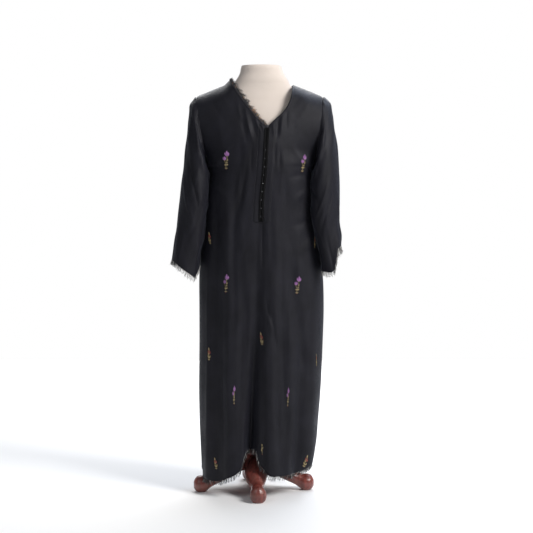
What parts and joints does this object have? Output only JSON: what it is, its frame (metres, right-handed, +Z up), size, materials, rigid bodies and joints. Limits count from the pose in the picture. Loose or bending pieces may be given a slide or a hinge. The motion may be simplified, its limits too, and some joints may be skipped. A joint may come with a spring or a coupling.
{
  "type": "kurta tunic on a dress form with a wooden stand",
  "caption": "Long black V-neck kurta tunic with sprig embroidery, fringed hem and cuffs, worn on a cream limbless dress form with a turned wooden footed stand.",
  "frame": {"origin": "on the floor, under the middle of the whole, within a few millimetres", "axes": "+Z up, -Y towards the wearer's front, +X towards the right of a viewer who faces that front"},
  "size_m": [0.5457, 0.3912, 1.3732],
  "materials": {
    "black_crepe": "soft low sheen",
    "black_lace": "matt, cream flecks",
    "thread_fringe": "loose thread",
    "dark_bead": "gloss",
    "cream_cover": "matt jersey",
    "red_brown_wood": "satin varnish"
  },
  "bodies": {
    "root": {"front_panel": "black_crepe", "back_panel": "black_crepe", "sleeve_left": "black_crepe", "sleeve_right": "black_crepe", "placket_left": "black_crepe", "placket_right": "black_crepe", "neck_binding_right": "black_crepe", "neck_binding_back": "black_crepe", "neck_lace_left": "black_lace", "hem_fringe_front": "thread_fringe", "hem_fringe_back": "thread_fringe", "cuff_fringe_left": "thread_fringe", "cuff_fringe_right": "thread_fringe", "dress_form": "cream_cover", "stand_pole": "red_brown_wood", "stand_hub": "red_brown_wood", "bead_1": "dark_bead", "bead_2": "dark_bead", "bead_3": "dark_bead", "bead_4": "dark_bead", "bead_5": "dark_bead", "bead_6": "dark_bead", "bead_7": "dark_bead", "bead_8": "dark_bead", "bead_9": "dark_bead", "stand_leg_1": "red_brown_wood", "stand_leg_2": "red_brown_wood", "stand_leg_3": "red_brown_wood", "stand_leg_4": "red_brown_wood"}
  },
  "joints": []
}
